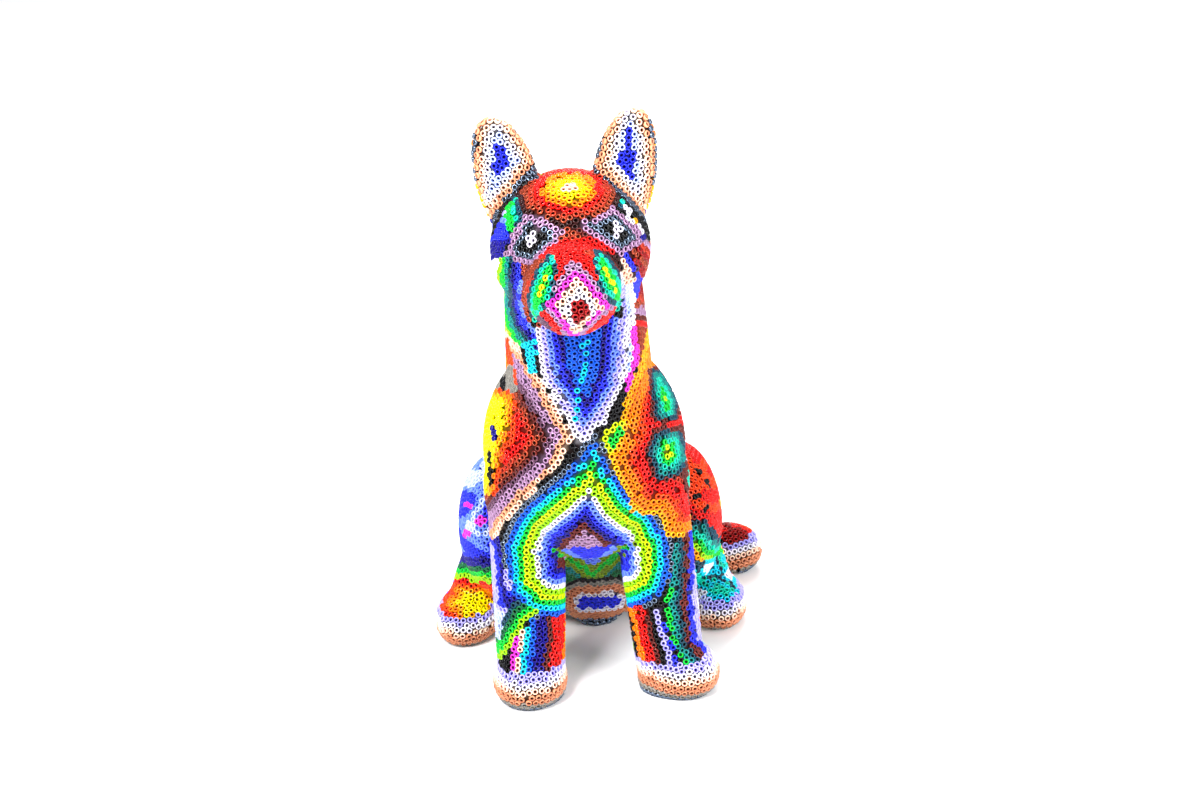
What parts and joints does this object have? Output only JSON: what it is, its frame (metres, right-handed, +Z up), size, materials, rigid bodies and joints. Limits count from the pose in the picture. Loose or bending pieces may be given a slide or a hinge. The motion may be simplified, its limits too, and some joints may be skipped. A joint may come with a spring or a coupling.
{
  "type": "beaded animal figure",
  "caption": "Seated dog figure: carved wooden parts on glued dowels, coated with beeswax and covered all over with coloured glass seed beads.",
  "frame": {"origin": "centre of the bounding box on the plane that the figure stands on", "axes": "+Z up, -Y the way the figure faces, +X the viewer's right"},
  "size_m": [0.116, 0.141, 0.1945],
  "materials": {
    "carved_wood": "carved, unvarnished",
    "dowel_wood": "turned, glued",
    "beeswax": "dark, soft sheen",
    "glass_beads": "opaque glass seed beads in many colours, glossy"
  },
  "bodies": {
    "root": {"head_core": "carved_wood", "head_wax": "beeswax", "head_beads": "glass_beads", "torso_core": "carved_wood", "torso_wax": "beeswax", "torso_beads": "glass_beads", "left_ear_core": "carved_wood", "left_ear_wax": "beeswax", "left_ear_beads": "glass_beads", "right_ear_core": "carved_wood", "right_ear_wax": "beeswax", "right_ear_beads": "glass_beads", "left_front_leg_core": "carved_wood", "left_front_leg_wax": "beeswax", "left_front_leg_beads": "glass_beads", "right_front_leg_core": "carved_wood", "right_front_leg_wax": "beeswax", "right_front_leg_beads": "glass_beads", "left_hind_leg_core": "carved_wood", "left_hind_leg_wax": "beeswax", "left_hind_leg_beads": "glass_beads", "right_hind_leg_core": "carved_wood", "right_hind_leg_wax": "beeswax", "right_hind_leg_beads": "glass_beads", "tail_core": "carved_wood", "tail_wax": "beeswax", "tail_beads": "glass_beads", "neck_dowel": "dowel_wood", "left_ear_dowel": "dowel_wood", "right_ear_dowel": "dowel_wood", "left_front_leg_dowel": "dowel_wood", "right_front_leg_dowel": "dowel_wood", "left_hind_leg_dowel": "dowel_wood", "right_hind_leg_dowel": "dowel_wood", "tail_dowel": "dowel_wood"}
  },
  "joints": []
}
